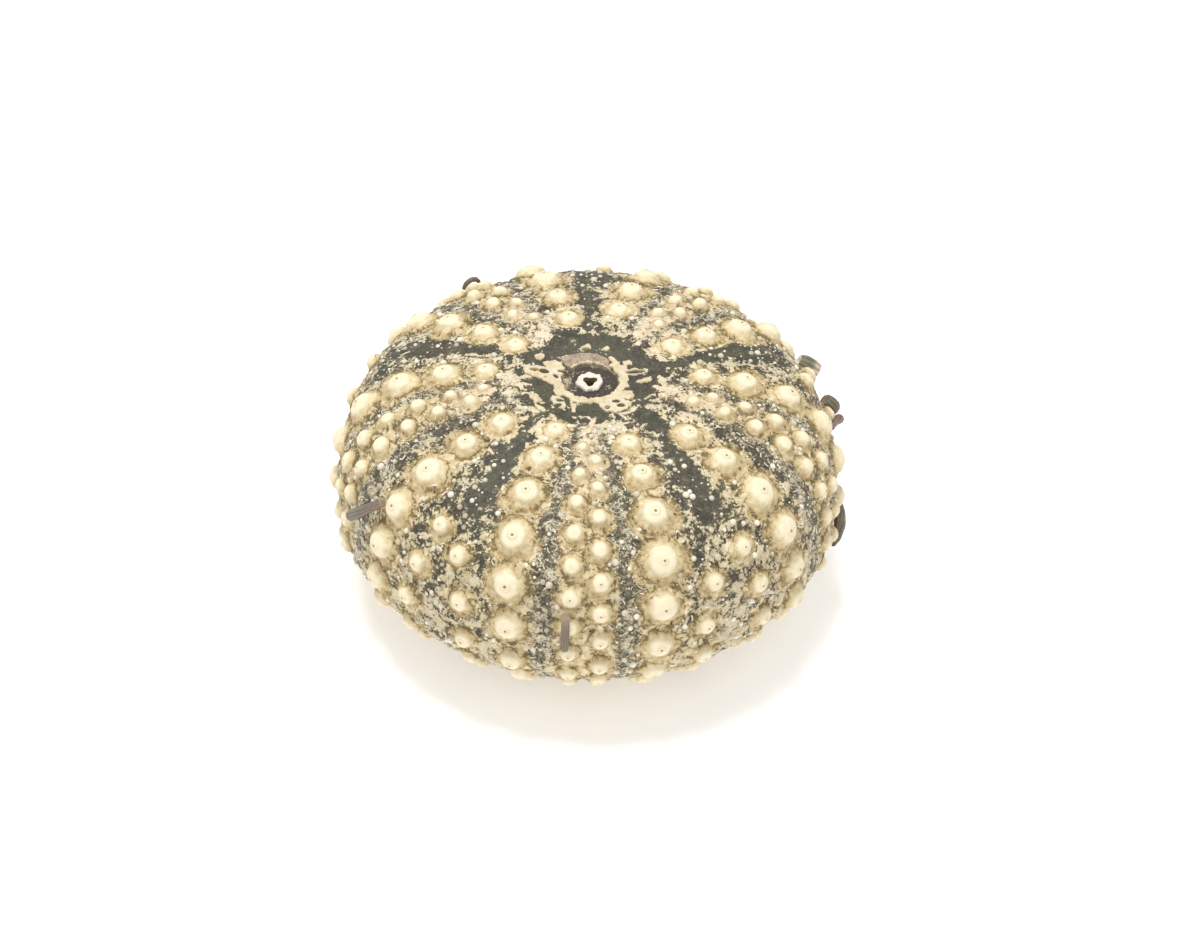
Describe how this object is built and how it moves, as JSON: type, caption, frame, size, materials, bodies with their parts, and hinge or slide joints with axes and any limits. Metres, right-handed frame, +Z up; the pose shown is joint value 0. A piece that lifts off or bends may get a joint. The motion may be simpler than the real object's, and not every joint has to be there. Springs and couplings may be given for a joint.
{
  "type": "sea urchin shell",
  "caption": "Dried, hollow sea urchin test: a flattened dome with rows of round tubercles, a star-shaped apical disc, an open underside and a few broken spines.",
  "frame": {"origin": "middle of the bounding box at the height of the surface that the shell rests on", "axes": "+Z up through the apical disc, -Y towards the front ambulacrum, +X to the right seen from the front"},
  "size_m": [0.0566, 0.0564, 0.0292],
  "materials": {
    "shell": "dry matt calcite: cream tubercles and patches on dark greenish grey plates",
    "spine": "dry satin calcite, brown to dark olive, with paler broken ends"
  },
  "bodies": {
    "root": {"test": "shell", "spine_stub_left": "spine", "spine_stub_front": "spine", "spine_stub_right_upper": "spine", "spine_stub_right_middle": "spine", "spine_stub_right_small": "spine", "spine_stub_right_lower": "spine", "spine_stub_back_left": "spine"}
  },
  "joints": []
}
